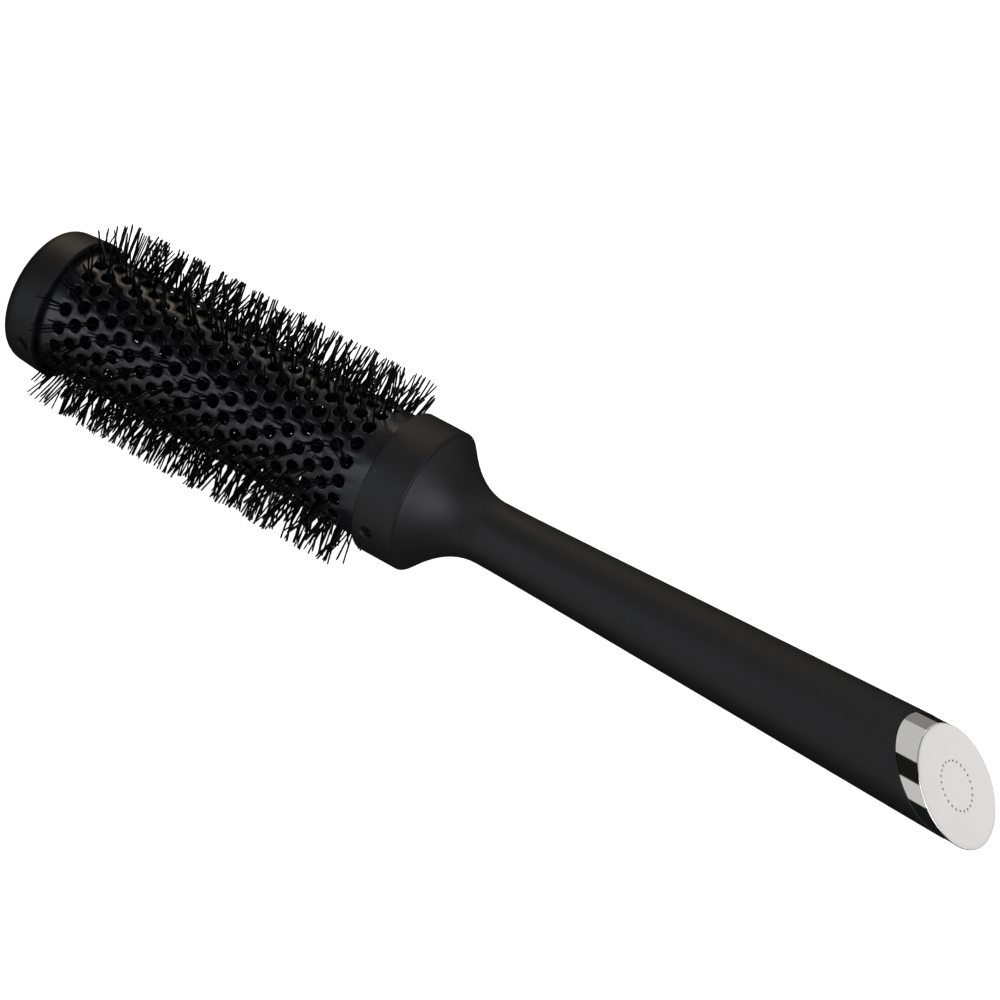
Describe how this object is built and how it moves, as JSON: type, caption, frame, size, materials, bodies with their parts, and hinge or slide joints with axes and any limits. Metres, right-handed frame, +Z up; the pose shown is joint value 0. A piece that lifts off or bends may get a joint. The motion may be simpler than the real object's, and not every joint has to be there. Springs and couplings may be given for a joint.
{
  "type": "round barrel brush",
  "caption": "Round hair brush with a perforated metal barrel, bristle tufts standing out through its holes, and a tapered handle with a slanted polished end cap.",
  "frame": {"origin": "centre of the tip cap's flat end face, on the brush's axis", "axes": "+X along the brush's axis from the tip cap to the handle's butt; +Z up, on the short side of the slanted end face; the pins in the tip cap and collar point along +Y and -Y"},
  "size_m": [0.267, 0.0504, 0.0504],
  "materials": {
    "soft_touch": "matt rubber-like coating on moulded plastic",
    "ceramic_coating": "satin dark grey ceramic coating on aluminium",
    "nylon_bristle": "black nylon filaments, satin",
    "black_plastic": "moulded",
    "steel": "drawn wire and crimped sleeve",
    "pin_steel": "plain",
    "chrome_plate": "polished"
  },
  "bodies": {
    "root": {"tip_cap": "soft_touch", "collar_ring": "soft_touch", "handle_shell": "soft_touch", "barrel_tube": "ceramic_coating", "tip_plug": "black_plastic", "barrel_spigot": "black_plastic", "wire_strand_1": "steel", "wire_strand_2": "steel", "tip_ferrule": "steel", "stem_ferrule": "steel", "tip_pin_left": "pin_steel", "tip_pin_right": "pin_steel", "collar_pin_left": "pin_steel", "collar_pin_right": "pin_steel", "end_cap": "chrome_plate", "bristle_ring_01": "nylon_bristle", "bristle_ring_02": "nylon_bristle", "bristle_ring_03": "nylon_bristle", "bristle_ring_04": "nylon_bristle", "bristle_ring_05": "nylon_bristle", "bristle_ring_06": "nylon_bristle", "bristle_ring_07": "nylon_bristle", "bristle_ring_08": "nylon_bristle", "bristle_ring_09": "nylon_bristle", "bristle_ring_10": "nylon_bristle", "bristle_ring_11": "nylon_bristle", "bristle_ring_12": "nylon_bristle", "bristle_ring_13": "nylon_bristle", "bristle_ring_14": "nylon_bristle", "bristle_ring_15": "nylon_bristle", "bristle_ring_16": "nylon_bristle", "bristle_ring_17": "nylon_bristle", "bristle_ring_18": "nylon_bristle", "bristle_ring_19": "nylon_bristle", "bristle_ring_20": "nylon_bristle", "bristle_ring_21": "nylon_bristle"}
  },
  "joints": []
}
